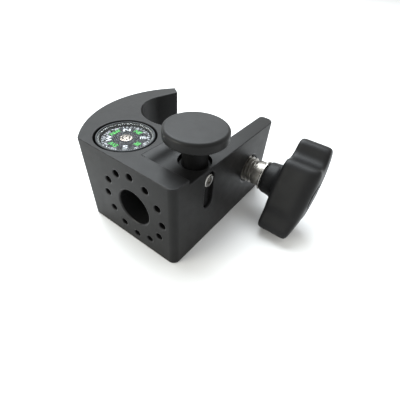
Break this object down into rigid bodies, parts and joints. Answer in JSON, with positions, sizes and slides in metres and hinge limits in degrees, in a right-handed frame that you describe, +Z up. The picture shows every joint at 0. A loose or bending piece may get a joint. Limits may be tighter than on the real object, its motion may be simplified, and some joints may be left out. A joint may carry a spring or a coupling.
{
  "type": "pole clamp bracket",
  "caption": "Open-jaw clamp bracket for a survey pole, with a compass, a T-knob clamp screw and a push-button quick-release socket with an index ring.",
  "frame": {"origin": "pole axis at the bottom face of the block", "axes": "+Z up along the pole, -Y out of the quick-release socket, +X towards the clamp knob"},
  "size_m": [0.0978, 0.0723, 0.0518],
  "materials": {
    "black_anodised": "black anodised, satin",
    "button_black": "black anodised, satin",
    "plunger_black": "black anodised, satin",
    "black_plastic": "moulded, satin",
    "knob_plastic": "moulded nylon, fine matte grain",
    "black_rubber": "matte",
    "clear_lens": "clear, polished",
    "dial_face": "black with printed white scale and green marks",
    "plated_magnet": "nickel plated",
    "plated_brass": "nickel plated, polished",
    "red_jewel": "polished",
    "stainless_steel": "turned and polished",
    "spring_steel": "drawn wire",
    "brass": "machined",
    "white_nylon": "machined"
  },
  "bodies": {
    "bracket": {"clamp_body": "black_anodised", "compass_housing": "black_plastic", "compass_pivot": "stainless_steel", "lens_seal": "black_rubber", "compass_lens": "clear_lens", "plunger_spring": "spring_steel"},
    "compass_card": {"compass_dial": "dial_face", "dial_magnet": "plated_magnet", "jewel_cap": "plated_brass", "pivot_jewel": "red_jewel"},
    "release": {"release_button": "button_black", "plunger": "plunger_black", "guide_screw": "stainless_steel"},
    "pad": {"pressure_pad": "white_nylon", "pad_liner": "black_rubber", "pad_clip": "spring_steel"},
    "clamp_screw": {"clamp_stud": "stainless_steel", "knob": "knob_plastic", "knob_insert": "brass", "thrust_washer": "stainless_steel", "knob_cap": "knob_plastic"}
  },
  "joints": [
    {"name": "card_turn", "type": "hinge", "parent": "bracket", "child": "compass_card", "pos_m": [0.0003, -0.0316, 0.0373], "axis": [0, 0, 1], "continuous": true},
    {"name": "button_press", "type": "slide", "parent": "bracket", "child": "release", "axis": [0, 0, -1], "range_m": [0, 0.0052], "stiffness_N_per_m": 900, "springref_m": -0.004, "deforming": ["plunger_spring"]},
    {"name": "pad_travel", "type": "slide", "parent": "bracket", "child": "pad", "axis": [1, 0, 0], "range_m": [-0.0079, 0.0071]},
    {"name": "screw_turn", "type": "hinge", "parent": "pad", "child": "clamp_screw", "pos_m": [0.0375, 0.0088, 0.02], "axis": [1, 0, 0], "range_deg": [-1620, 1455]}
  ],
  "couplings": [
    {"joint": "pad_travel", "follows": "screw_turn", "m_per_rad": 0.00027852}
  ]
}
